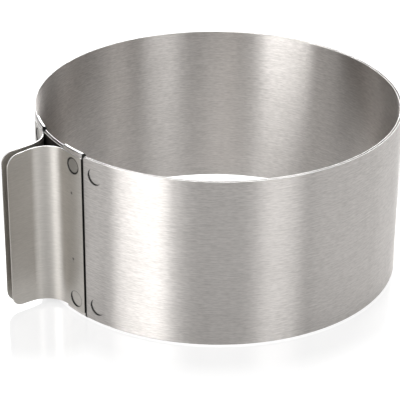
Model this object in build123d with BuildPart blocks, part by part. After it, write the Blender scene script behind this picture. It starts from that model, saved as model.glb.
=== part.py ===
"""An adjustable cake ring: one long springy strip of sheet, coiled into a ring, and a pinch clamp.

The strip's outer end is clinched to the clamp plate. From there the strip runs once around, slips through the
plate's two folded sleeves and lies against the inside of the ring, so its loose end slides when the size is set.
Two pressed wings, clinched on the sleeves, are squeezed with two fingers.

The strip is a spiral, drawn in short lengths with a hairline between them, because it bends all along when the
ring opens or closes. The clamp plate and the two handles are drawn in the lengths that flex against each other.

Frame: the ring's axis is Z, the clamp's folds stand on Z = 0, and the handles point to -X. Angles are in degrees,
anticlockwise seen from above, and start at the handles' direction. A sweep is an angle along the strip, from its
fixed end.
"""
import os
from math import asin, cos, degrees, radians, sin

from build123d import *

# The ring and its strip
ring_diameter = 194.0
band_height = 91.0
band_sheet = 0.4
overlap_length = 320.0
fixed_end_length = 13.5
fixed_corner_radius = 1.5
loose_corner_radius = 3.0
bend_gap = 0.05
band_length_count = 38

# The clamp plate
plate_sheet = 0.4
slide_gap = 0.4
lip_depth = 6.0
front_sleeve_length = 15.5
rear_sleeve_length = 15.0
flex_length = 23.5
flex_edge_inset = 1.0
tongue_length = 12.5
tongue_edge_inset = 1.5

# The two handles
handle_sheet = 0.6
flange_inset = 1.2
flange_corner_radius = 1.2
seam_gap = 0.6
root_inset = 1.2
root_bend_length = 4.0
wing_spacing = 3.8
wing_length = 27.0
wing_lean = 6.9
flare_radius = 88.0
wing_taper = 1.8
wing_corner_radius = 6.0

# The clinches, pressed from the outer sheet into a hole of the plate behind it
clinch_radius = 4.2
clinch_wall = 0.3
clinch_fit = 0.05
band_clinch_depth = 0.35
flange_clinch_depth = 0.45
band_clinch_distance = 8.0
band_clinch_inset = 8.5
flange_clinch_distance = 6.8
flange_clinch_inset = 7.5

# Two small dents in the front flange, with their distances from its edges
pip_radius = 0.5
pip_depth = 0.2
pip_distance = 8.4
upper_pip_inset = 22.0
lower_pip_inset = 29.0

full_turn = 360.0
right_angle = 90.0

# Levels: the folds stand on the table, and the strip hangs inside them
channel_width = 2 * slide_gap + band_sheet
fold_rise = plate_sheet + channel_width / 2
clamp_height = band_height + 2 * fold_rise
middle_level = clamp_height / 2
flange_height = band_height - 2 * flange_inset
wing_end_height = flange_height - 2 * wing_taper
wing_reach = ring_diameter / 2 + wing_length

# Radii at the fixed end: the strip, the plate behind it and the loose end that slides inside the plate
band_middle_radius = ring_diameter / 2 - band_sheet / 2
plate_outer_radius = ring_diameter / 2 - band_sheet
plate_inner_radius = plate_outer_radius - plate_sheet
loose_middle_radius = plate_inner_radius - channel_width / 2


def plan(height):
    """Give the level plane whose x runs in the handles' direction."""
    return Plane((0, 0, height), x_dir=(-1, 0, 0), z_dir=(0, 0, 1))


def sweep_of(length, radius):
    """Give the angle, in degrees, that a length takes along a circle."""
    return degrees(length / radius)


def at(radius, angle):
    """Give the point of a plan at a radius and an angle."""
    return (radius * cos(radians(angle)), radius * sin(radians(angle)))


# Angles of the clamp's stations, from the handles' direction
front_edge_angle = sweep_of(flex_length / 2, plate_outer_radius)
rear_edge_angle = -front_edge_angle
front_sleeve_sweep = sweep_of(front_sleeve_length, plate_outer_radius)
rear_sleeve_sweep = sweep_of(rear_sleeve_length, plate_outer_radius)
seam_angle = front_edge_angle + front_sleeve_sweep
rear_end_angle = rear_edge_angle - rear_sleeve_sweep

# The spiral: after a turn, less half a sleeve, the strip lies in the middle of the front sleeve's channel
layer_step = (band_middle_radius - loose_middle_radius) * full_turn / (full_turn - front_sleeve_sweep / 2)
fixed_end_sweep = sweep_of(fixed_end_length, band_middle_radius)
band_sweep = full_turn + sweep_of(overlap_length, loose_middle_radius)
band_length_sweep = (band_sweep - fixed_end_sweep) / band_length_count
half_gap_sweep = sweep_of(bend_gap / 2, band_middle_radius)


def strip_radius(sweep):
    """Give the radius of the strip's middle at a sweep from its fixed end."""
    return band_middle_radius - layer_step * sweep / full_turn


def outline_sheet(radius, thickness, start, end):
    """Draw, in the line in hand, a curved sheet's outline between two angles.

    radius gives the radius of the sheet's middle at an angle.
    """
    middle = (start + end) / 2
    inner, outer = [
        ThreePointArc(
            at(radius(start) + side, start), at(radius(middle) + side, middle), at(radius(end) + side, end)
        )
        for side in (-thickness / 2, thickness / 2)
    ]
    Line(inner @ 0, outer @ 0)
    Line(inner @ 1, outer @ 1)


def strip(start, end):
    """Make the strip between two sweeps from its fixed end."""
    with BuildPart() as length:
        with BuildSketch(plan(fold_rise)):
            with BuildLine():
                outline_sheet(
                    lambda angle: strip_radius(angle - seam_angle), band_sheet, seam_angle + start, seam_angle + end
                )
            make_face()
        extrude(amount=band_height)
    return length.part


def plate(radius, start, end, height):
    """Make the clamp plate's bare sheet, at mid-height, between two angles."""
    with BuildPart() as sheet:
        with BuildSketch(plan(middle_level - height / 2)):
            with BuildLine():
                outline_sheet(radius, plate_sheet, start, end)
            make_face()
        extrude(amount=height)
    return sheet.part


def sleeve(start, sweep, wall_radius):
    """Make a folded sleeve: a wall with a lip turned inwards over the strip at its top and at its foot."""
    outward = (-cos(radians(start)), -sin(radians(start)), 0)
    onward = (sin(radians(start)), -cos(radians(start)), 0)
    channel_radius = wall_radius - plate_sheet / 2 - channel_width / 2
    lip_radius = channel_radius - channel_width / 2 - plate_sheet / 2
    with BuildPart() as folded:
        with BuildSketch(Plane((0, 0, middle_level), x_dir=outward, z_dir=[-part for part in onward])):
            with Locations((channel_radius, 0)):
                SlotOverall(clamp_height, channel_width + 2 * plate_sheet, rotation=right_angle)
                SlotOverall(
                    clamp_height - 2 * plate_sheet, channel_width, rotation=right_angle, mode=Mode.SUBTRACT
                )
            with Locations((lip_radius, 0)):
                Rectangle(2 * plate_sheet, clamp_height - 2 * lip_depth, mode=Mode.SUBTRACT)
        revolve(axis=Axis.Z, revolution_arc=sweep)
    return folded.part


def buttons(angle, heights, radius, inner, outer):
    """Make round buttons at an angle and at heights from the middle, curved like the sheets, between two radii."""
    outward = (-cos(radians(angle)), -sin(radians(angle)), 0)
    with BuildPart() as discs:
        for height in heights:
            with BuildSketch(Plane((0, 0, middle_level + height), x_dir=(0, 0, 1), z_dir=outward)):
                Circle(radius)
            extrude(amount=outer + radius)
        with BuildSketch(plan(0)):
            Circle(outer)
            Circle(inner, mode=Mode.SUBTRACT)
        extrude(amount=clamp_height, mode=Mode.INTERSECT)
    return discs.part


def corner_edges(part, angle, radius):
    """Give the short edges across a sheet's thickness at an angle, where its corners get rounded."""
    corner = at(radius, angle)
    return part.edges().filter_by(
        lambda edge: abs(edge.center().X + corner[0]) + abs(edge.center().Y + corner[1]) < bend_gap
        and edge.length < channel_width
    )


def save(builder, name):
    """Label a finished piece and write its file."""
    builder.part.label = name
    export_step(builder.part, f"parts/{name}.step")


os.makedirs("parts", exist_ok=True)

# Where the clinches are, and how each is cut: its button and recess in the outer sheet, its hole in the plate
band_clinch_angle = seam_angle + sweep_of(band_clinch_distance, plate_outer_radius)
band_clinch_height = band_height / 2 - band_clinch_inset
flange_clinch_height = band_height / 2 - flange_clinch_inset
band_clinch_heights = (band_clinch_height, -band_clinch_height)
flange_clinch_heights = (flange_clinch_height, -flange_clinch_height)
pip_heights = (flange_height / 2 - upper_pip_inset, lower_pip_inset - flange_height / 2)
front_flange_angle = seam_angle - sweep_of(seam_gap, plate_outer_radius)
front_clinch_angle = front_flange_angle - sweep_of(flange_clinch_distance, plate_outer_radius)
rear_clinch_angle = rear_end_angle + sweep_of(flange_clinch_distance, plate_outer_radius)
button_radius = clinch_radius + clinch_wall
hole_radius = button_radius + clinch_fit

# The strip's fixed end, outside the plate's tongue
fixed_end_strip = strip(0, fixed_end_sweep - half_gap_sweep)
band_buttons = buttons(
    band_clinch_angle, band_clinch_heights, button_radius, plate_inner_radius, plate_outer_radius + clinch_fit
)
band_recesses = buttons(
    band_clinch_angle,
    band_clinch_heights,
    clinch_radius,
    ring_diameter / 2 - band_clinch_depth,
    ring_diameter / 2 + clinch_radius,
)
with BuildPart() as band_fixed_end:
    add(fixed_end_strip)
    fillet(corner_edges(band_fixed_end.part, seam_angle, band_middle_radius), fixed_corner_radius)
    add(band_buttons)
    add(band_recesses, mode=Mode.SUBTRACT)
save(band_fixed_end, "band_fixed_end")

# The rest of the strip, in equal lengths that bend against each other; the last one is the loose end
for number in range(band_length_count):
    start_sweep = fixed_end_sweep + number * band_length_sweep + half_gap_sweep
    end_sweep = fixed_end_sweep + (number + 1) * band_length_sweep - half_gap_sweep
    next_length = strip(start_sweep, end_sweep)
    with BuildPart() as band_length:
        add(next_length)
        if number == band_length_count - 1:
            loose_edges = corner_edges(band_length.part, seam_angle + end_sweep, strip_radius(end_sweep))
            fillet(loose_edges, loose_corner_radius)
    save(band_length, f"band_length_{number + 1:02d}")

# The plate's front end: its sleeve, and the tongue behind the strip's fixed end
plate_wall_radius = plate_outer_radius - plate_sheet / 2
front_sleeve = sleeve(front_edge_angle + half_gap_sweep, front_sleeve_sweep - half_gap_sweep, plate_wall_radius)
tongue = plate(
    lambda angle: strip_radius(angle - seam_angle) - (band_sheet + plate_sheet) / 2,
    seam_angle,
    seam_angle + sweep_of(tongue_length, plate_outer_radius),
    band_height - 2 * tongue_edge_inset,
)
band_clinch_holes = buttons(
    band_clinch_angle,
    band_clinch_heights,
    hole_radius,
    plate_inner_radius - plate_sheet,
    plate_outer_radius + plate_sheet,
)
front_clinch_holes = buttons(
    front_clinch_angle,
    flange_clinch_heights,
    hole_radius,
    plate_inner_radius - slide_gap,
    plate_outer_radius + plate_sheet,
)
with BuildPart() as clamp_plate_front:
    add(front_sleeve)
    add(tongue)
    add(band_clinch_holes, mode=Mode.SUBTRACT)
    add(front_clinch_holes, mode=Mode.SUBTRACT)
save(clamp_plate_front, "clamp_plate_front")

# The plate's bare middle, which flexes
flex_wall = plate(
    lambda angle: plate_wall_radius,
    rear_edge_angle + half_gap_sweep,
    front_edge_angle - half_gap_sweep,
    band_height - 2 * flex_edge_inset,
)
with BuildPart() as clamp_plate_middle:
    add(flex_wall)
save(clamp_plate_middle, "clamp_plate_middle")

# The plate's rear sleeve, where the strip is a little further out than in the front one
rear_middle_sweep = full_turn - seam_angle + rear_edge_angle - rear_sleeve_sweep / 2
rear_wall_radius = strip_radius(rear_middle_sweep) + (channel_width + plate_sheet) / 2
rear_seat_radius = rear_wall_radius + plate_sheet / 2
rear_sleeve = sleeve(rear_end_angle, rear_sleeve_sweep - half_gap_sweep, rear_wall_radius)
rear_clinch_holes = buttons(
    rear_clinch_angle,
    flange_clinch_heights,
    hole_radius,
    rear_seat_radius - plate_sheet - slide_gap,
    rear_seat_radius + plate_sheet,
)
with BuildPart() as clamp_plate_rear:
    add(rear_sleeve)
    add(rear_clinch_holes, mode=Mode.SUBTRACT)
save(clamp_plate_rear, "clamp_plate_rear")


def follow_bend(start, direction, radius, sweep):
    """Give the place and the direction after a bend; a positive sweep bends to the left."""
    side = 1 if sweep > 0 else -1
    centre = start + direction.rotate(Axis.Z, side * right_angle) * radius
    return centre + (start - centre).rotate(Axis.Z, sweep), direction.rotate(Axis.Z, sweep)


def outline_bend(start, direction, radius, sweep):
    """Draw, in the line in hand, the two sides of a bent sheet, and give them."""
    left = direction.rotate(Axis.Z, right_angle)
    turn = 1 if sweep > 0 else -1
    return [
        JernArc(start + left * side, direction, radius - turn * side, sweep)
        for side in (-handle_sheet / 2, handle_sheet / 2)
    ]


def close_outline(sides):
    """Join the two sides of a sheet at both ends, in the line in hand."""
    Line(sides[0][0] @ 0, sides[0][1] @ 0)
    Line(sides[-1][0] @ 1, sides[-1][1] @ 1)


def handle(name, side, seat_radius, end_angle, edge_angle, clinch_angle, dent_heights):
    """Make a handle: the flange on its sleeve with the root of the bend, and the wing that springs from there.

    side is 1 for the front handle, which bends to the left, and -1 for the rear one.
    """
    middle_radius = seat_radius + handle_sheet / 2
    face_radius = seat_radius + handle_sheet
    root_angle = edge_angle + side * sweep_of(root_inset, seat_radius)
    root_slope = sin(abs(radians(root_angle))) * cos(radians(wing_lean))
    bend_radius = (middle_radius * root_slope - wing_spacing / 2) / (1 - root_slope)
    bend_sweep = right_angle - abs(root_angle) + side * wing_lean
    root_sweep = sweep_of(root_bend_length, bend_radius)
    wing_start_sweep = root_sweep + sweep_of(bend_gap, bend_radius)
    root = Vector(*at(middle_radius, root_angle))
    root_direction = Vector(*at(side, root_angle - right_angle))
    wing_start, wing_direction = follow_bend(root, root_direction, bend_radius, side * wing_start_sweep)
    flare_start, lean_direction = follow_bend(root, root_direction, bend_radius, side * bend_sweep)
    tip_rise = sin(radians(wing_lean)) + side * (wing_reach - flare_start.X) / flare_radius
    flare_sweep = degrees(asin(tip_rise)) - wing_lean

    clinch_buttons = buttons(
        clinch_angle, flange_clinch_heights, button_radius, seat_radius - plate_sheet, seat_radius + clinch_fit
    )
    hollows = [
        buttons(clinch_angle, flange_clinch_heights, clinch_radius, face_radius - flange_clinch_depth, wing_reach)
    ]
    if dent_heights:
        dent_angle = end_angle - side * sweep_of(pip_distance, seat_radius)
        hollows.append(buttons(dent_angle, dent_heights, pip_radius, face_radius - pip_depth, wing_reach))

    with BuildPart() as flange:
        with BuildSketch(plan(middle_level - flange_height / 2)):
            with BuildLine():
                outline_sheet(
                    lambda angle: middle_radius, handle_sheet, min(end_angle, root_angle), max(end_angle, root_angle)
                )
            make_face()
            with BuildLine():
                close_outline([outline_bend(root, root_direction, bend_radius, side * root_sweep)])
            make_face()
        extrude(amount=flange_height)
        fillet(corner_edges(flange.part, end_angle, middle_radius), flange_corner_radius)
        add(clinch_buttons)
        add(hollows, mode=Mode.SUBTRACT)
    save(flange, f"{name}_flange")

    with BuildPart() as wing:
        with BuildSketch(plan(middle_level - flange_height / 2)):
            with BuildLine():
                bend = outline_bend(
                    wing_start, wing_direction, bend_radius, side * (bend_sweep - wing_start_sweep)
                )
                flare = outline_bend(flare_start, lean_direction, flare_radius, flare_sweep)
                close_outline([bend, flare])
            make_face()
        extrude(amount=flange_height)
        with BuildSketch(Plane((0, 0, middle_level), x_dir=(-1, 0, 0), z_dir=(0, 1, 0))):
            with BuildLine():
                Polyline(
                    (wing_start.X - handle_sheet, flange_height / 2),
                    (wing_reach, wing_end_height / 2),
                    (wing_reach, -wing_end_height / 2),
                    (wing_start.X - handle_sheet, -flange_height / 2),
                    close=True,
                )
            wing_side = make_face()
            fillet(wing_side.vertices().group_by(Axis.X)[-1], wing_corner_radius)
        extrude(amount=wing_reach, both=True, mode=Mode.INTERSECT)
    save(wing, f"{name}_wing")


handle(
    "front_handle", 1, plate_outer_radius, front_flange_angle, front_edge_angle, front_clinch_angle, pip_heights
)
handle("rear_handle", -1, rear_seat_radius, rear_end_angle, rear_edge_angle, rear_clinch_angle, ())
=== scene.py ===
"""The adjustable cake ring, dressed: a brushed strip, a folded clamp plate and two satin pinch handles.

Lengths are in millimetres until a mesh is made. Plan angles are in degrees, anticlockwise from above, from
the direction in which the handles point, which is -X. A plan point (u, v) is (-u, -v) in the world.
"""
from collections import namedtuple
from math import asin, cos, degrees, pi, radians, sin

import bpy
import numpy as np
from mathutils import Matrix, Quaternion, Vector

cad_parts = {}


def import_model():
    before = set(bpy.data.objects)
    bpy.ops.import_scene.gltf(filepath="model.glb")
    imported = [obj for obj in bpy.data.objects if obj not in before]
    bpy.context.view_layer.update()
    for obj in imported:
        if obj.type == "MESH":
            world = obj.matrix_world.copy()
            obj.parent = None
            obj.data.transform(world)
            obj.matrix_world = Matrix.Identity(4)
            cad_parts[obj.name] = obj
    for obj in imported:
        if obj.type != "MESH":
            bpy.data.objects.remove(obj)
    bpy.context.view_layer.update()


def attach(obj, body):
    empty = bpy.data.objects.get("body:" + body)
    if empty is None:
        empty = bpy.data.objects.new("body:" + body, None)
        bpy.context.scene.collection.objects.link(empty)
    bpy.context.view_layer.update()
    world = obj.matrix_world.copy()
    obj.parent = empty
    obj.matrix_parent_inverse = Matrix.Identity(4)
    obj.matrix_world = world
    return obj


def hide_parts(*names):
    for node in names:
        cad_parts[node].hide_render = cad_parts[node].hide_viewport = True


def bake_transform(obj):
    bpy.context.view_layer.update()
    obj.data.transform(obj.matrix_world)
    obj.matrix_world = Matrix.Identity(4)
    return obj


MM = 0.001

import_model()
scene = bpy.context.scene

# Sizes, as in the part's source

RING_RADIUS = 97.0
BAND_HEIGHT = 91.0
BAND_SHEET = 0.4
OVERLAP = 320.0
FIXED_END = 13.5
BAND_LENGTHS = 38
PLATE_SHEET = 0.4
CHANNEL_GAP = 0.4
LIP_DEPTH = 6.0
FRONT_SLEEVE = 15.5
REAR_SLEEVE = 15.0
FLEX = 23.5
TONGUE = 12.5
TONGUE_INSET = 1.5
MIDDLE_INSET = 1.0
HANDLE_SHEET = 0.6
FLANGE_INSET = 1.2
SEAM_GAP = 0.6
ROOT_INSET = 1.2
WING_TAPER = 1.8
WING_REACH = 124.0
WING_LEAN = 6.9
WING_SPACING = 3.8
FLARE_RADIUS = 88.0

# Sizes of the dressing alone

MIDDLE_SHEET = 0.3
STRIP_CORNER = 1.5
LOOSE_CORNER = 3.0
FLANGE_CORNER = 1.2
WING_CORNER = 6.0
CLINCH_RADIUS = 4.45
CLINCH_RIM = 0.8
BAND_CLINCH_LENGTH = 8.0
BAND_CLINCH_INSET = 8.5
BAND_CLINCH_DEPTH = 0.34
HANDLE_CLINCH_LENGTH = 6.8
HANDLE_CLINCH_INSET = 7.5
HANDLE_CLINCH_DEPTH = 0.4
PIP_LENGTH = 8.4
PIP_RADIUS = 1.1
PIP_RIM = 0.9
PIP_DEPTH = 0.13
PIP_ROWS = 9
PIP_BELOW_TOP = 22.0
PIP_ABOVE_FOOT = 29.0

channel = 2 * CHANNEL_GAP + BAND_SHEET
fold_rise = PLATE_SHEET + channel / 2
clamp_height = BAND_HEIGHT + 2 * fold_rise
mid_height = clamp_height / 2
foot, top = fold_rise, fold_rise + BAND_HEIGHT
flange_height = BAND_HEIGHT - 2 * FLANGE_INSET
band_middle = RING_RADIUS - BAND_SHEET / 2
plate_outer = RING_RADIUS - BAND_SHEET
plate_wall = plate_outer - PLATE_SHEET / 2
loose_middle = plate_outer - PLATE_SHEET - channel / 2


def sweep_of(length, radius):
    """The angle, in degrees, that a length takes along a circle."""
    return degrees(length / radius)


front_edge = sweep_of(FLEX / 2, plate_outer)
front_sweep = sweep_of(FRONT_SLEEVE, plate_outer)
rear_sweep = sweep_of(REAR_SLEEVE, plate_outer)
seam = front_edge + front_sweep
layer_step = (band_middle - loose_middle) * 360 / (360 - front_sweep / 2)
fixed_sweep = sweep_of(FIXED_END, band_middle)
band_sweep = 360 + sweep_of(OVERLAP, loose_middle)
length_sweep = (band_sweep - fixed_sweep) / BAND_LENGTHS
rear_turn = 360 - seam - front_edge - rear_sweep / 2
rear_wall = band_middle - layer_step * rear_turn / 360 + (channel + PLATE_SHEET) / 2


def world(u, v, z):
    """A plan point and a height, in metres in the shared frame."""
    return (-u * MM, -v * MM, z * MM)


# Camera: a long lens from the handles' front side, above

CAMERA_LENS = 164.83
CAMERA_PLACE = (449.2, 756.1, 482.7)
CAMERA_AIM = (21.3, 18.5, 46.5)
CAMERA_ROLL = 0.43

camera = bpy.data.objects.new("camera", bpy.data.cameras.new("camera"))
camera.data.sensor_width = 36.0
camera.data.lens = CAMERA_LENS
camera.location = world(*CAMERA_PLACE)
aim = Vector(world(*CAMERA_AIM)) - camera.location
camera.rotation_mode = "QUATERNION"
camera.rotation_quaternion = aim.to_track_quat("-Z", "Y") @ Quaternion((0, 0, 1), radians(CAMERA_ROLL))
scene.collection.objects.link(camera)
scene.camera = camera
scene.view_settings.view_transform = "Standard"

# Mesh code

SHARP_ANGLE = 50
EDGE_TURN = np.linspace(0, pi, 9)[1:-1]


def skin(name, rings, lengths, rounds):
    """A closed skin over rings of points, ring by ring along a piece, with a flat cap on both ends.

    rings is an array (steps, points of a ring, 3) in world millimetres. The quads join point j of ring i to
    its neighbours j + 1 and i + 1. lengths (one for each step) and rounds (one for each point of a ring, or
    an array of steps by points) are the two directions of the piece's own UV map, in millimetres.
    """
    steps, around, _ = rings.shape
    points = rings.reshape(-1, 3) * MM
    index = np.arange(steps * around).reshape(steps, around)
    this, following = index[:-1], index[1:]
    corners = [this, following, np.roll(following, -1, 1), np.roll(this, -1, 1)]
    quads = np.stack(corners, -1).reshape(-1, 4)
    caps = [index[0][::-1], index[-1]]
    fans = [np.stack([np.full(around - 2, cap[0]), cap[1:-1], cap[2:]], -1) for cap in caps]
    triangles = np.concatenate([quads[:, [0, 1, 2]], quads[:, [0, 2, 3]], *fans])
    a, b, c = (points[triangles[:, corner]] for corner in range(3))
    faces = quads.tolist() + [cap.tolist() for cap in caps]
    if np.einsum("ij,ij->", a, np.cross(b, c)) < 0:
        faces = [face[::-1] for face in faces]
    mesh = bpy.data.meshes.new(name)
    mesh.from_pydata(points.tolist(), [], faces)
    along = np.broadcast_to(np.asarray(lengths)[:, None], (steps, around))
    across = np.broadcast_to(rounds, (steps, around))
    chart = np.stack([along, across], -1).reshape(-1, 2) * MM
    loops = np.empty(len(mesh.loops), int)
    mesh.loops.foreach_get("vertex_index", loops)
    mesh.uv_layers.new(name="sheet").data.foreach_set("uv", chart[loops].astype(np.float32).ravel())
    mesh.polygons.foreach_set("use_smooth", [True] * len(faces))
    mesh.set_sharp_from_angle(angle=radians(SHARP_ANGLE))
    piece = bpy.data.objects.new(name, mesh)
    scene.collection.objects.link(piece)
    return piece


def mark(piece, values):
    """Give a piece its point attribute of painted shade, one number for each point."""
    attribute = piece.data.attributes.get("painted_shade")
    if attribute is None:
        attribute = piece.data.attributes.new("painted_shade", "FLOAT", "POINT")
    attribute.data.foreach_set("value", np.asarray(values, np.float32).ravel())


def smooth(x):
    """0 below 0, 1 above 1 and 3x^2 - 2x^3 between."""
    x = np.clip(x, 0, 1)
    return x * x * (3 - 2 * x)


# A round hollow in a sheet's outer face. It is as deep as depth inside radius less rim and fades out over the
# rim. Its floor is level with a lean of 0. With a lean of 1 it rises in a plane to nothing at the upper side
# towards larger lengths, and with -1 towards smaller ones. tone is painted shade on a level floor, or on the
# rim of a leaning one.
Hollow = namedtuple("Hollow", "length height radius rim depth lean tone")

LEAN_ALONG, LEAN_UP = 0.75, 0.65
LEAN_SLOPE = 0.62
RIM_BLUR = 0.2
RIM_SPILL = 0.15
OUTLINE_WIDTH = 0.35
CRESCENT_SHIFT = 1.15
CRESCENT_OVERLAP = 0.1
WHOLE_RIM_DEPTH = 0.2
END_BLUR = 0.1


def press(hollow, lengths, z):
    """How far a hollow sinks into the face at lengths and heights, and how much shade is painted on the face.

    Sinking is depth times 3x^2 - 2x^3 of the way in over the rim, times the slope of a leaning floor. Shade
    is painted on the rim of a deep hollow, for the shade in its crevice: all round a level one, and else in
    the crescent between the rim's circle and the same circle moved towards the upper side.
    """
    along, up = lengths[:, None] - hollow.length, z - hollow.height
    away = np.hypot(along, up)
    inside = smooth((hollow.radius - away) / hollow.rim)
    within = smooth((hollow.radius + RIM_SPILL - away) / RIM_BLUR)
    if hollow.lean:
        falling = -LEAN_ALONG * along * hollow.lean - LEAN_UP * up
        slope = np.clip(0.5 + LEAN_SLOPE * falling / hollow.radius, 0, 1)
        off = np.hypot(along - LEAN_ALONG * hollow.lean * CRESCENT_SHIFT, up - LEAN_UP * CRESCENT_SHIFT)
        rim_shade = within * smooth((off - hollow.radius + CRESCENT_OVERLAP) / RIM_BLUR)
        toned = within * smooth((away - hollow.radius + OUTLINE_WIDTH) / RIM_BLUR)
    else:
        slope = 1.0
        rim_shade = within * smooth((away - hollow.radius + hollow.rim + RIM_SPILL) / RIM_BLUR)
        toned = inside
    if hollow.depth < WHOLE_RIM_DEPTH:
        rim_shade = 0 * rim_shade
    return hollow.depth * inside * slope, np.maximum(rim_shade, hollow.tone * toned)


def bent_sheet(name, places, normals, lengths, low, high, thickness, rows, hollows=(), shade_paint=0.0):
    """An upright sheet whose plan line is places, with rounded edges at its top and foot.

    A ring of the skin is the sheet's upright section: up the outer face at half the thickness from the plan
    line, over a half circle, down the inner face and round a half circle again. low and high give the sheet's
    foot and top at each step, rows the shares of the height that have points, and the last argument how many
    of the sheet's first millimetres get painted shade, for the shade of the step at that end.
    """
    half = thickness / 2
    face_points, edge_points = len(rows), len(EDGE_TURN)
    flat = np.zeros(face_points)
    out, over = half * np.cos(EDGE_TURN), half * np.sin(EDGE_TURN)
    share = np.concatenate([rows, np.ones(edge_points), rows[::-1], np.zeros(edge_points)])
    side = np.concatenate([flat + half, out, flat - half, -out])
    lift = np.concatenate([flat, over, flat, -over])
    low, high, lengths = (np.broadcast_to(value, len(places)).astype(float) for value in (low, high, lengths))
    z = (low + half)[:, None] + (high - low - thickness)[:, None] * share + lift
    side = np.repeat(side[None], len(places), 0)
    # Painted shade over the sheet's first millimetres, and where the hollows below paint it
    end_shade = smooth((shade_paint - lengths) / END_BLUR + 1)[:, None] * (shade_paint > 0)
    painted_shade = np.repeat(end_shade, len(share), 1)
    face = slice(0, face_points)
    for hollow in hollows:
        sinking, shade = press(hollow, lengths, z[:, face])
        side[:, face] -= sinking
        painted_shade[:, face] = np.maximum(painted_shade[:, face], shade)
    u = np.minimum(places[:, :1] + normals[:, :1] * side, WING_REACH)
    v = places[:, 1:] + normals[:, 1:] * side
    chart_shift = np.repeat([0.0, 2 * clamp_height], face_points + edge_points)
    piece = skin(name, np.stack([-u, -v, z], -1), lengths, z + chart_shift)
    mark(piece, painted_shade)
    return piece


def steps_to(*stops):
    """Even steps between stops, given as value, step, value, step, value and so on."""
    runs = []
    for start, step, end in zip(stops[::2], stops[1::2], stops[2::2]):
        count = max(1, round(abs(end - start) / step))
        runs.append(np.linspace(start, end, count + 1)[:-1])
    return np.append(np.concatenate(runs), stops[-1])


def corner_cut(distance, radius):
    """What a rounded corner takes off the height at a distance from the end: r - sqrt(r^2 - (r - d)^2)."""
    inside = np.clip(radius - distance, 0, radius)
    return radius - np.sqrt(radius**2 - inside**2)


PLAIN_ROWS = np.array([0, 0.002, 0.004, 0.2, 0.4, 0.6, 0.8, 0.996, 0.998, 1])
HOLLOW_STEP = 0.28
EDGE_BAND, EDGE_STEP, COARSE_STEP = 0.4, 0.2, 3.0


def hollow_rows(heights, low, height, spread):
    """Shares of a sheet's height, fine around the hollows and at both edges, and coarse elsewhere."""
    stops = [0.0, EDGE_STEP, EDGE_BAND, COARSE_STEP]
    for middle in sorted(heights):
        stops += [middle - spread - low, HOLLOW_STEP, middle + spread - low, COARSE_STEP]
    return steps_to(*stops, height - EDGE_BAND, EDGE_STEP, height) / height


# The strip: a spiral, r = outer radius - step * sweep / 360, in pieces that go from mid length to mid length

STRIP_STEP = 0.8
CORNER_STEP = 0.1
# Painted shade on the strip's fixed end, for the shade of the step at the seam
STRIP_END_SHADE = 0.45
STRIP_HOLLOW_SPREAD = CLINCH_RADIUS + 0.6
FIRST_BEND = 7.5
# Values and steps between them near the strip's fixed end, fine over its painted end shade and its corner
FIRST_STEPS = (0, 0.05, 0.3, 0.2, STRIP_CORNER, 0.3, FIXED_END, 0.9)


def strip_line(sweep, inset=0.0):
    """Plan points and outward normals of the spiral at sweeps from the seam."""
    angle = np.radians(seam + sweep)
    normal = np.stack([np.cos(angle), np.sin(angle)], -1)
    return normal * (band_middle - inset - layer_step * sweep / 360)[:, None], normal


def strip_point(sweep):
    """The strip's place at a sweep, in the world at half its height."""
    place, _ = strip_line(np.array([sweep]))
    return world(place[0, 0], place[0, 1], mid_height)


strip_pieces = []
per_degree = radians(1) * band_middle
band_clinch_heights = [mid_height + side * (BAND_HEIGHT / 2 - BAND_CLINCH_INSET) for side in (-1, 1)]
bodies = ["clamp_front"] + [f"band_length_{count + 1:02d}" for count in range(BAND_LENGTHS)]
for number in range(BAND_LENGTHS):
    first = number == 0
    last = number == BAND_LENGTHS - 1
    joint = fixed_sweep + number * length_sweep
    start = 0.0 if first else joint - length_sweep / 2
    end = band_sweep if last else joint + length_sweep / 2
    rows = PLAIN_ROWS
    hollows = []
    if first:
        lengths = steps_to(*FIRST_STEPS, end * per_degree)
        rows = hollow_rows(band_clinch_heights, foot, BAND_HEIGHT, STRIP_HOLLOW_SPREAD)
        for z in band_clinch_heights:
            hollow = Hollow(BAND_CLINCH_LENGTH, z, CLINCH_RADIUS, CLINCH_RIM, BAND_CLINCH_DEPTH, 1, 0.0)
            hollows.append(hollow)
        cut = corner_cut(lengths, STRIP_CORNER)
    elif last:
        corner_start = end * per_degree - LOOSE_CORNER
        lengths = steps_to(start * per_degree, STRIP_STEP, corner_start, CORNER_STEP, end * per_degree)
        cut = corner_cut(end * per_degree - lengths, LOOSE_CORNER)
    else:
        lengths = steps_to(start * per_degree, STRIP_STEP, end * per_degree)
        cut = 0.0
    places, normals = strip_line(lengths / per_degree)
    piece = bent_sheet(
        f"strip_{number:02d}",
        places,
        normals,
        lengths,
        foot + cut,
        top - cut,
        BAND_SHEET,
        rows,
        hollows,
        STRIP_END_SHADE if first else 0.0,
    )
    fold_start = strip_point(FIRST_BEND if first else start)
    fold_end = strip_point(joint + length_sweep / 2)
    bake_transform(piece)
    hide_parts(bodies[number + 1], *(["band_fixed_end"] if first else []))
    strip_pieces.append(piece)

# The clamp plate: two folded sleeves, a bare middle and a tongue behind the strip's fixed end

SLEEVE_STEPS = 24
FOLD_POINTS = 13
WALL_POINTS = 20
LIP_POINTS = 4
LIP_EDGE_TURN = np.linspace(0, pi, 7)[1:-1]
# Painted shade on the end of each sleeve, for the shade in the gap there
SLEEVE_END_SHADE = 1.35
SEAM_BLUR = 0.3
TONGUE_STEPS = 16
MIDDLE_STEPS = 20
# The middle's outer face, deep between the wings, gets painted shade in the same near-black
MIDDLE_SHADE = 0.85
PLATE_BEND = 3.0


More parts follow.
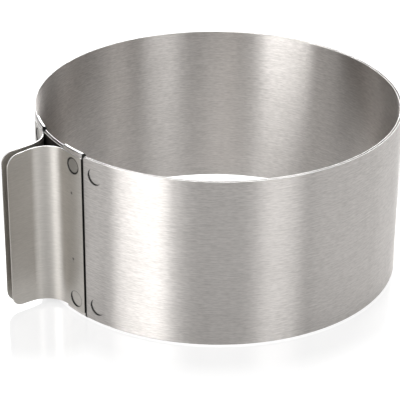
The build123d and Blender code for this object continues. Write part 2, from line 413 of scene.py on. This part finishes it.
def sleeve(name, start, end, wall):
    """A folded sleeve, turned about the ring's axis.

    Its section follows the sheet's middle line from the lower lip's edge down, round a half circle, up the
    wall, round the upper half circle and down to the upper lip's edge, with half the sheet on both sides of
    that line. Its last millimetre gets painted shade, for the shade in the gap at that end.
    """
    bend = (channel + PLATE_SHEET) / 2
    top_fold = clamp_height - fold_rise
    turn = np.linspace(0, pi, FOLD_POINTS)
    rise = np.linspace(fold_rise, top_fold, WALL_POINTS)[1:-1]
    lip = np.linspace(LIP_DEPTH, fold_rise, LIP_POINTS)[:-1]
    lip_side, wall_side = 0 * lip - 1, 0 * rise + 1
    normal_r = np.concatenate([lip_side, -np.cos(turn), wall_side, np.cos(turn), lip_side])
    normal_z = np.concatenate([0 * lip, -np.sin(turn), 0 * rise, np.sin(turn), 0 * lip])
    r = bend * normal_r
    low_fold, high_fold = fold_rise - bend * np.sin(turn), top_fold + bend * np.sin(turn)
    z = np.concatenate([lip, low_fold, rise, high_fold, clamp_height - lip[::-1]])
    half = PLATE_SHEET / 2
    out, over = half * np.cos(LIP_EDGE_TURN), half * np.sin(LIP_EDGE_TURN)
    outer_r, inner_r = r + normal_r * half, (r - normal_r * half)[::-1]
    outer_z, inner_z = z + normal_z * half, (z - normal_z * half)[::-1]
    ring_r = np.concatenate([outer_r, r[-1] - out, inner_r, r[0] + out])
    ring_z = np.concatenate([outer_z, z[-1] - over, inner_z, z[0] + over])
    stretches = np.hypot(np.diff(ring_r, prepend=ring_r[0]), np.diff(ring_z, prepend=ring_z[0]))
    angle = np.radians(np.linspace(start, end, SLEEVE_STEPS))[:, None]
    radius = ring_r + wall - bend
    rings = np.stack([-radius * np.cos(angle), -radius * np.sin(angle), ring_z + 0 * angle], -1)
    piece = skin(name, rings, angle[:, 0] * wall, np.cumsum(stretches))
    from_end = (angle - radians(end)) * wall
    mark(piece, smooth((from_end + SLEEVE_END_SHADE) / SEAM_BLUR) + 0 * ring_z)
    return piece


def arc_line(start, end, radius, count):
    """Plan points, outward normals and lengths along a circle about the ring's axis."""
    angle = np.radians(np.linspace(start, end, count))
    normal = np.stack([np.cos(angle), np.sin(angle)], -1)
    return normal * radius, normal, angle * radius


front_sleeve = sleeve("front_sleeve", front_edge, seam, plate_wall)
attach(front_sleeve, "clamp_front")
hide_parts("clamp_plate_front")
rear_sleeve = sleeve("rear_sleeve", -front_edge - rear_sweep, -front_edge, rear_wall)
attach(rear_sleeve, "clamp_rear")
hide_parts("clamp_plate_rear")

tongue_sweep = np.linspace(0, sweep_of(TONGUE, plate_outer), TONGUE_STEPS)
places, normals = strip_line(tongue_sweep, inset=(BAND_SHEET + PLATE_SHEET) / 2)
tongue = bent_sheet(
    "tongue",
    places,
    normals,
    radians(1) * plate_outer * tongue_sweep,
    foot + TONGUE_INSET,
    top - TONGUE_INSET,
    PLATE_SHEET,
    PLAIN_ROWS,
)
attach(tongue, "clamp_front")

plate_pieces = [front_sleeve, rear_sleeve, tongue]
# The middle is a little thinner on its inner face, so that the strip clears it at the widest setting.
middle_wall = plate_outer - MIDDLE_SHEET / 2
bend_edge = front_edge - sweep_of(PLATE_BEND, plate_wall)
ring_points = 2 * (len(PLAIN_ROWS) + len(EDGE_TURN))
for name, start, end, bend_start, bend_end, fixed, moving in (
    ("plate_middle_front", front_edge, 0.0, front_edge, bend_edge, "clamp_front", "clamp_middle"),
    ("plate_middle_rear", 0.0, -front_edge, -bend_edge, -front_edge, "clamp_middle", "clamp_rear"),
):
    places, normals, lengths = arc_line(start, end, middle_wall, MIDDLE_STEPS)
    low, high = foot + MIDDLE_INSET, top - MIDDLE_INSET
    half_plate = bent_sheet(name, places, normals, lengths, low, high, MIDDLE_SHEET, PLAIN_ROWS)
    outer_face = np.arange(ring_points) < len(PLAIN_ROWS)
    mark(half_plate, MIDDLE_SHADE * np.tile(outer_face, (len(places), 1)))
    fold_start, fold_end = (
        world(plate_wall * cos(radians(angle)), plate_wall * sin(radians(angle)), mid_height)
        for angle in (bend_start, bend_end)
    )
    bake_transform(half_plate)
    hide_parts("clamp_plate_middle")
    plate_pieces.append(half_plate)

# The handles: a flange on its sleeve, a bend and a flared wing, in one sheet

# Painted shade on the end of each flange, for the shade of the step there
FLANGE_END_SHADE = 0.35
HANDLE_HOLLOW_SPREAD = CLINCH_RADIUS + 0.5
TAPER_DELAY = 0.6
ROUNDING = 1e-9
WING_FOLD_START, WING_FOLD_END, WING_FOLD_SIDE = 97.0, 100.5, 9.0
# Painted shade in the hollows: on the outline of the lower clinch, the floor of the upper one and the floors
# of the pips
CLINCH_OUTLINE_SHADE, CLINCH_FLOOR_SHADE, PIP_FLOOR_SHADE = 0.6, 0.3, 0.8


def handle_line(lengths, start, heading, arcs):
    """Plan points and directions along arcs in a row, each (length, curvature).

    At a length s into an arc of curvature k the direction is h + k s, and the point has moved by
    (sin(h + k s) - sin h) / k and (cos h - cos(h + k s)) / k.
    """
    places = np.zeros((len(lengths), 2))
    headings = np.zeros(len(lengths))
    here, done = np.array(start, float), 0.0
    for length, bend in arcs:
        on = lengths >= done - ROUNDING
        h = heading + bend * (np.minimum(lengths, done + length) - done)
        step = np.stack([np.sin(h) - sin(heading), cos(heading) - np.cos(h)], -1) / bend
        places[on], headings[on] = (here + step)[on], h[on]
        next_heading = heading + bend * length
        here = here + np.array([sin(next_heading) - sin(heading), cos(heading) - cos(next_heading)]) / bend
        heading, done = next_heading, done + length
    return places, headings


def handle(name, side, seat, end_angle, edge_angle, clinch_angle, pips):
    """One pressed handle; side is 1 for the front one and -1 for the rear one.

    Its plan line is three arcs in a row: the flange around the ring's axis, the bend, whose radius leaves
    half the wings' spacing to the plane between them, and the flare, as long as it takes to the wings'
    reach. seat is the radius that the flange lies on, and the angles are those of the flange's end, of the
    sleeve's edge by the wing and of the clinches. pips are the heights of the small pips.
    """
    middle = seat + HANDLE_SHEET / 2
    root_angle = edge_angle + side * sweep_of(ROOT_INSET, seat)
    slope = sin(abs(radians(root_angle))) * cos(radians(WING_LEAN))
    bend_radius = (middle * slope - WING_SPACING / 2) / (1 - slope)
    bend_turn = radians(90 - abs(root_angle) + side * WING_LEAN)
    flange = middle * radians(abs(end_angle - root_angle))
    start = (middle * cos(radians(end_angle)), middle * sin(radians(end_angle)))
    heading = radians(end_angle) - side * pi / 2
    arcs = [(flange, -side / middle), (bend_radius * bend_turn, side / bend_radius)]
    tip, _ = handle_line(np.array([flange + bend_radius * bend_turn]), start, heading, arcs)
    rise = sin(radians(WING_LEAN)) + side * (WING_REACH - tip[0, 0]) / FLARE_RADIUS
    flare = FLARE_RADIUS * abs(asin(rise) - radians(WING_LEAN))
    arcs.append((flare, side / FLARE_RADIUS))
    clinch = middle * radians(abs(end_angle - clinch_angle))
    total = flange + bend_radius * bend_turn + flare
    before, after = clinch - HANDLE_HOLLOW_SPREAD, clinch + HANDLE_HOLLOW_SPREAD
    # Values and steps between them, fine over the painted end shade, the clinches and the wing's corners
    flange_steps = (0, 0.06, 0.3, 0.15, before, HOLLOW_STEP, after, 0.45)
    wing_steps = (total - 7, 0.4, total - 1, 0.12, total)
    lengths = steps_to(*flange_steps, *wing_steps)
    places, headings = handle_line(lengths, start, heading, arcs)
    normals = side * np.stack([-np.sin(headings), np.cos(headings)], -1)
    u = places[:, 0]
    taper_start = middle * cos(radians(root_angle)) + TAPER_DELAY
    taper = WING_TAPER * np.clip((u - taper_start) / (WING_REACH - taper_start), 0, 1)
    cut = corner_cut(lengths, FLANGE_CORNER) + corner_cut(WING_REACH - u, WING_CORNER) + taper
    low, high = mid_height - flange_height / 2, mid_height + flange_height / 2
    lower, upper = (mid_height + up * (BAND_HEIGHT / 2 - HANDLE_CLINCH_INSET) for up in (-1, 1))
    hollows = [
        Hollow(clinch, lower, CLINCH_RADIUS, CLINCH_RIM, HANDLE_CLINCH_DEPTH, -side, CLINCH_OUTLINE_SHADE),
        Hollow(clinch, upper, CLINCH_RADIUS, CLINCH_RIM, HANDLE_CLINCH_DEPTH, 0, CLINCH_FLOOR_SHADE),
    ]
    rows = hollow_rows((lower, upper), low, flange_height, HANDLE_HOLLOW_SPREAD)
    for z in pips:
        hollows.append(Hollow(PIP_LENGTH, z, PIP_RADIUS, PIP_RIM, PIP_DEPTH, 0, PIP_FLOOR_SHADE))
        rows = np.append(rows, (z - low + np.linspace(-PIP_RIM, PIP_RIM, PIP_ROWS)) / flange_height)
    rows = np.unique(rows)
    piece = bent_sheet(
        name, places, normals, lengths, low + cut, high - cut, HANDLE_SHEET, rows, hollows, FLANGE_END_SHADE
    )
    return piece


clinch_sweep = sweep_of(HANDLE_CLINCH_LENGTH, plate_outer)
front_end = seam - sweep_of(SEAM_GAP, plate_outer)
pip_heights = [
    mid_height + flange_height / 2 - PIP_BELOW_TOP,
    mid_height - flange_height / 2 + PIP_ABOVE_FOOT,
]
front_handle = handle(
    "front_handle", 1, plate_outer, front_end, front_edge, front_end - clinch_sweep, pip_heights
)
rear_seat = rear_wall + PLATE_SHEET / 2
rear_end = -front_edge - rear_sweep
rear_handle = handle("rear_handle", -1, rear_seat, rear_end, -front_edge, rear_end + clinch_sweep, [])
for piece, side, seat, wing in (
    (front_handle, 1, "clamp_front", "front"),
    (rear_handle, -1, "clamp_rear", "rear"),
):
    fold_start = world(WING_FOLD_START, side * WING_FOLD_SIDE, mid_height)
    fold_end = world(WING_FOLD_END, side * WING_FOLD_SIDE, mid_height)
    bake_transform(piece)
    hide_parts(f"{wing}_handle_flange", f"{wing}_handle_wing")

# Shaders


class Signal:
    """A socket that carries a number, so that sums and products of such numbers add their Math nodes."""

    def __init__(self, tree, socket):
        self.tree, self.socket = tree, socket

    def join(self, operation, first, second):
        """A Math node on two numbers, in this signal's tree."""
        node = add_node(self.tree, "ShaderNodeMath", {"operation": operation}, {0: first, 1: second})
        return Signal(self.tree, node.outputs[0])

    def __add__(self, other):
        return self.join("ADD", self, other)

    def __sub__(self, other):
        return self.join("SUBTRACT", self, other)

    def __rsub__(self, other):
        return self.join("SUBTRACT", other, self)

    def __mul__(self, other):
        return self.join("MULTIPLY", self, other)

    __radd__ = __add__
    __rmul__ = __mul__


def add_node(tree, kind, settings=(), sockets=()):
    """Add a node with its settings first, and then the values or links of its sockets."""
    node = tree.nodes.new(kind)
    for key, value in dict(settings).items():
        setattr(node, key, value)
    for key, value in dict(sockets).items():
        if isinstance(value, Signal):
            value = value.socket
        if isinstance(value, bpy.types.NodeSocket):
            tree.links.new(value, node.inputs[key])
        else:
            node.inputs[key].default_value = value
    return node


def signal(tree, kind, settings=(), sockets=(), output=0):
    """A node's output as a number to calculate with."""
    return Signal(tree, add_node(tree, kind, settings, sockets).outputs[output])


def soft_step(value, low, high, bottom=0.0, top=1.0):
    """From bottom to top in a smooth step as value goes from low to high."""
    sockets = {"Value": value, "From Min": low, "From Max": high, "To Min": bottom, "To Max": top}
    return signal(value.tree, "ShaderNodeMapRange", {"interpolation_type": "SMOOTHSTEP"}, sockets)


def mix_colours(tree, share, first, second):
    """The colour between two colours, as a socket."""
    sockets = {"Factor": share, "A": first, "B": second}
    return add_node(tree, "ShaderNodeMix", {"data_type": "RGBA"}, sockets).outputs["Result"]


def empty_tree(owner):
    """The cleared node tree of a material or a world."""
    owner.use_nodes = True
    owner.node_tree.nodes.clear()
    return owner.node_tree


# Near-white where a face points up or down: the bare cut edges, with a painted highlight on the tops of edges
# and folds
EDGE_AND_HIGHLIGHT = (0.93, 0.93, 0.92, 1)
# The square of the normal's upright part where a face begins to take the bare edge colour and painted
# highlight, and where it takes it fully
EDGE_AND_HIGHLIGHT_FACING = (0.1, 0.5)
# Painted shade: the near-black colour painted at the seams and gaps, on the clinches and pips and between the
# wings
PAINTED_SHADE_COLOUR = (0.035, 0.034, 0.033, 1)
PAINTED_SHADE_ROUGHNESS = 0.2
ROUGHNESS_CHANGE = 0.08
# The mean of noise, and of the tone, which goes from dark at 0 to light at 1
MEAN = 0.5
BROAD_SHARE = 0.4
CLOUD_SHARE = 0.5
SCRATCH_LEVELS = (0.64, 0.78)
LINE_ROUGHNESS = 0.6
FINE_RELIEF, BROAD_RELIEF = 0.6, 0.4
BUMP_STRENGTH, BUMP_DISTANCE = 0.25, 0.00002
BRUSHING_TURN = 0.25


def brushed_steel(name, dark, light, roughness, anisotropy, grain, scratch):
    """Brushed sheet, with fine lines and short dashes along it, clouds, scratches, bare edges with a painted
    highlight where faces point up or down, and painted shade.

    The piece's UV map is in metres, along the sheet and across it. Noise that is stretched along it makes
    lines.
    """
    material = bpy.data.materials.new(name)
    tree = empty_tree(material)
    chart = add_node(tree, "ShaderNodeUVMap", {"uv_map": "sheet"}).outputs[0]

    def lines(along, across, detail):
        """Noise with so many changes in a metre along and across the sheet."""
        sockets = {"Vector": chart, "Scale": (along, across, 1.0)}
        stretched = add_node(tree, "ShaderNodeMapping", {}, sockets).outputs[0]
        sockets = {"Vector": stretched, "Scale": 1.0, "Detail": detail, "Roughness": LINE_ROUGHNESS}
        return signal(tree, "ShaderNodeTexNoise", {"noise_dimensions": "2D"}, sockets)

    fine = lines(along=110.0, across=2000.0, detail=3.0)
    broad = lines(along=45.0, across=750.0, detail=2.0)
    cloud = lines(along=26.0, across=60.0, detail=2.0)
    dashes = lines(along=300.0, across=1700.0, detail=1.0)
    marks = soft_step(lines(along=30.0, across=1500.0, detail=1.0), *SCRATCH_LEVELS)
    brushing = (fine + dashes - 2 * MEAN) * grain + (broad - MEAN) * (grain * BROAD_SHARE)
    tone = MEAN + brushing + (cloud - MEAN) * CLOUD_SHARE + marks * scratch
    bright = mix_colours(tree, tone, (*dark, 1), (*light, 1))
    normal = add_node(tree, "ShaderNodeNewGeometry").outputs["Normal"]
    upright = signal(tree, "ShaderNodeSeparateXYZ", {}, {0: normal}, output=2)
    edge_highlit = mix_colours(tree, soft_step(upright * upright, *EDGE_AND_HIGHLIGHT_FACING), bright, EDGE_AND_HIGHLIGHT)
    # Painted shade: the point attribute read here mixes in the near-black colour, with more roughness
    shade_paint = signal(tree, "ShaderNodeAttribute", {"attribute_name": "painted_shade"}, output="Fac")
    colour = mix_colours(tree, shade_paint, edge_highlit, PAINTED_SHADE_COLOUR)
    rough = roughness + (fine + cloud - 2 * MEAN) * ROUGHNESS_CHANGE + shade_paint * PAINTED_SHADE_ROUGHNESS
    relief = fine * FINE_RELIEF + broad * BROAD_RELIEF
    sockets = {"Strength": BUMP_STRENGTH, "Distance": BUMP_DISTANCE, "Height": relief}
    bump = add_node(tree, "ShaderNodeBump", {}, sockets)
    sockets = {
        "Base Color": colour,
        "Metallic": 1.0,
        "Roughness": rough,
        "Anisotropic": anisotropy,
        "Anisotropic Rotation": BRUSHING_TURN,
        "Normal": bump.outputs[0],
    }
    shader = add_node(tree, "ShaderNodeBsdfPrincipled", {}, sockets)
    add_node(tree, "ShaderNodeOutputMaterial", {}, {"Surface": shader.outputs[0]})
    return material


strip_steel = brushed_steel(
    "strip_steel",
    dark=(0.53, 0.505, 0.485),
    light=(0.715, 0.685, 0.66),
    roughness=0.38,
    anisotropy=1.0,
    grain=1.35,
    scratch=0.3,
)
plate_steel = brushed_steel(
    "plate_steel",
    dark=(0.585, 0.56, 0.54),
    light=(0.73, 0.70, 0.675),
    roughness=0.34,
    anisotropy=0.6,
    grain=0.6,
    scratch=0.2,
)
handle_steel = brushed_steel(
    "handle_steel",
    dark=(0.49, 0.47, 0.44),
    light=(0.63, 0.605, 0.57),
    roughness=0.43,
    anisotropy=0.7,
    grain=0.7,
    scratch=0.2,
)
for pieces, steel in (
    (strip_pieces, strip_steel),
    (plate_pieces, plate_steel),
    ((front_handle, rear_handle), handle_steel),
):
    for piece in pieces:
        piece.data.materials.append(steel)

# The floor: white paper whose mirror fades out around the ring and the wings; inside the ring it has none

FLOOR_HALF = 2.5
FLOOR_POINTS = 9
# The paper's tone for all rays and for the camera's, and its glow for the camera and in the metal
PAPER_TONE, PAPER_TONE_SEEN = 0.4, 0.2
GLOW_SEEN, GLOW_REFLECTED = 0.84, 0.41
MIRROR_ROUGHNESS = 0.08
MIRROR_SHARE = 0.13
HOLE_EDGE = (0.0965, 0.098)
RING_FADE = (0.11, 0.13)
WING_FADE = (0.033, 0.055)
WING_FADE_PLACE = world(112.0, 10.0, 0.0)


def white_floor():
    """White paper. To the camera it glows to about white by itself and keeps the object's shadow."""
    paper = bpy.data.materials.new("white_floor")
    tree = empty_tree(paper)
    rays = add_node(tree, "ShaderNodeLightPath").outputs
    camera_ray = Signal(tree, rays["Is Camera Ray"])
    glossy_ray = Signal(tree, rays["Is Glossy Ray"])
    clear_ray = Signal(tree, rays["Is Transmission Ray"])
    place = add_node(tree, "ShaderNodeNewGeometry").outputs["Position"]

    def floor_distance(centre):
        """How far a place on the floor is from a centre, in metres."""
        sockets = {0: place, 1: centre}
        return signal(tree, "ShaderNodeVectorMath", {"operation": "DISTANCE"}, sockets, output="Value")

    tone = PAPER_TONE - camera_ray * (PAPER_TONE - PAPER_TONE_SEEN)
    shade = add_node(tree, "ShaderNodeBsdfDiffuse", {}, {"Color": tone})
    strength = camera_ray * GLOW_SEEN + (glossy_ray + clear_ray) * GLOW_REFLECTED
    glow = add_node(tree, "ShaderNodeEmission", {}, {"Color": (1, 1, 1, 1), "Strength": strength})
    lit = add_node(tree, "ShaderNodeAddShader", {}, {0: shade.outputs[0], 1: glow.outputs[0]})
    sockets = {"Color": (1, 1, 1, 1), "Roughness": MIRROR_ROUGHNESS}
    mirror = add_node(tree, "ShaderNodeBsdfGlossy", {}, sockets)
    from_axis = floor_distance((0.0, 0.0, 0.0))
    from_wings = floor_distance(WING_FADE_PLACE)
    near_ring = soft_step(from_axis, *RING_FADE, 1.0, 0.0)
    near_wings = soft_step(from_wings, *WING_FADE, 1.0, 0.0)
    near = near_ring.join("MAXIMUM", near_ring, near_wings)
    polish = camera_ray * near * soft_step(from_axis, *HOLE_EDGE, 0.0, MIRROR_SHARE)
    seen = add_node(tree, "ShaderNodeMixShader", {}, {0: polish, 1: lit.outputs[0], 2: mirror.outputs[0]})
    add_node(tree, "ShaderNodeOutputMaterial", {}, {"Surface": seen.outputs[0]})
    return paper


span = np.linspace(-FLOOR_HALF, FLOOR_HALF, FLOOR_POINTS)
floor_x, floor_y = np.meshgrid(span, span, indexing="ij")
floor_points = np.stack([floor_x, floor_y, 0 * floor_x], -1).reshape(-1, 3)
index = np.arange(FLOOR_POINTS**2).reshape(FLOOR_POINTS, FLOOR_POINTS)
squares = np.stack([index[:-1, :-1], index[1:, :-1], index[1:, 1:], index[:-1, 1:]], -1).reshape(-1, 4)
floor_mesh = bpy.data.meshes.new("floor")
floor_mesh.from_pydata(floor_points.tolist(), [], squares.tolist())
floor_mesh.materials.append(white_floor())
floor = bpy.data.objects.new("floor", floor_mesh)
scene.collection.objects.link(floor)

# The studio: a world of tall softboxes and a ceiling, given by the direction in which they stand

# Direction in degrees from +X, half width, lowest and highest elevation, brightness
SOFTBOXES = (
    (194.0, 16.5, -5.0, 25.0, 5.5),
    (199.0, 16.5, 25.0, 65.0, 3.6),
    (162.0, 8.0, -5.0, 25.0, 0.9),
    (265.0, 3.0, -5.0, 65.0, 0.7),
    (279.0, 11.0, -5.0, 25.0, 1.7),
    (279.0, 11.0, 25.0, 65.0, 2.7),
    (329.0, 31.0, -5.0, 25.0, 0.7),
    (5.0, 10.0, -5.0, 25.0, 0.9),
    (51.5, 20.5, -5.0, 25.0, 4.2),
    (51.5, 20.5, 25.0, 65.0, 7.0),
    (85.0, 13.0, 25.0, 65.0, 2.5),
    (245.0, 9.0, 25.0, 65.0, 0.5),
)
SIDE_BLUR = 0.8
END_EDGE_BLUR = 3.0
# Elevations where the ceiling begins and is full, and its brightness
CEILING = (62.0, 68.0, 1.6)


def softbox(direction, height, azimuth, half_width, lowest, highest, brightness):
    """A softbox's light: its brightness where the level direction is its own, between its two elevations.

    Its sides are soft steps in the cosine of the angle to its own direction, and its ends soft steps in the
    sine of the elevation, which is the height of a direction.
    """
    tree = height.tree
    sockets = {0: direction, 1: (cos(radians(azimuth)), sin(radians(azimuth)), 0)}
    towards = signal(tree, "ShaderNodeVectorMath", {"operation": "DOT_PRODUCT"}, sockets, output="Value")
    dark_side, bright_side = (cos(radians(half_width + blur)) for blur in (SIDE_BLUR, -SIDE_BLUR))
    across = soft_step(towards, dark_side, bright_side, 0.0, brightness)
    above = soft_step(height, *(sin(radians(lowest + blur)) for blur in (-END_EDGE_BLUR, END_EDGE_BLUR)))
    below = soft_step(height, *(sin(radians(highest + blur)) for blur in (END_EDGE_BLUR, -END_EDGE_BLUR)))
    return across * above * below


def studio():
    """A world that is white to the camera and holds the ceiling and the softboxes for everything else."""
    light = bpy.data.worlds.new("studio")
    tree = empty_tree(light)
    direction = add_node(tree, "ShaderNodeTexCoord").outputs["Generated"]
    height = signal(tree, "ShaderNodeSeparateXYZ", {}, {0: direction}, output=2)
    flat = add_node(tree, "ShaderNodeVectorMath", {"operation": "MULTIPLY"}, {0: direction, 1: (1, 1, 0)})
    level = add_node(tree, "ShaderNodeVectorMath", {"operation": "NORMALIZE"}, {0: flat.outputs[0]})
    ceiling_edge, ceiling_full, ceiling_brightness = CEILING
    boxes = soft_step(height, sin(radians(ceiling_edge)), sin(radians(ceiling_full)), 0.0, ceiling_brightness)
    for box in SOFTBOXES:
        boxes = boxes + softbox(level.outputs[0], height, *box)
    camera_ray = Signal(tree, add_node(tree, "ShaderNodeLightPath").outputs["Is Camera Ray"])
    strength = camera_ray + (1 - camera_ray) * boxes
    background = add_node(tree, "ShaderNodeBackground", {}, {"Color": (1, 1, 1, 1), "Strength": strength})
    add_node(tree, "ShaderNodeOutputWorld", {}, {"Surface": background.outputs[0]})
    return light


scene.world = studio()
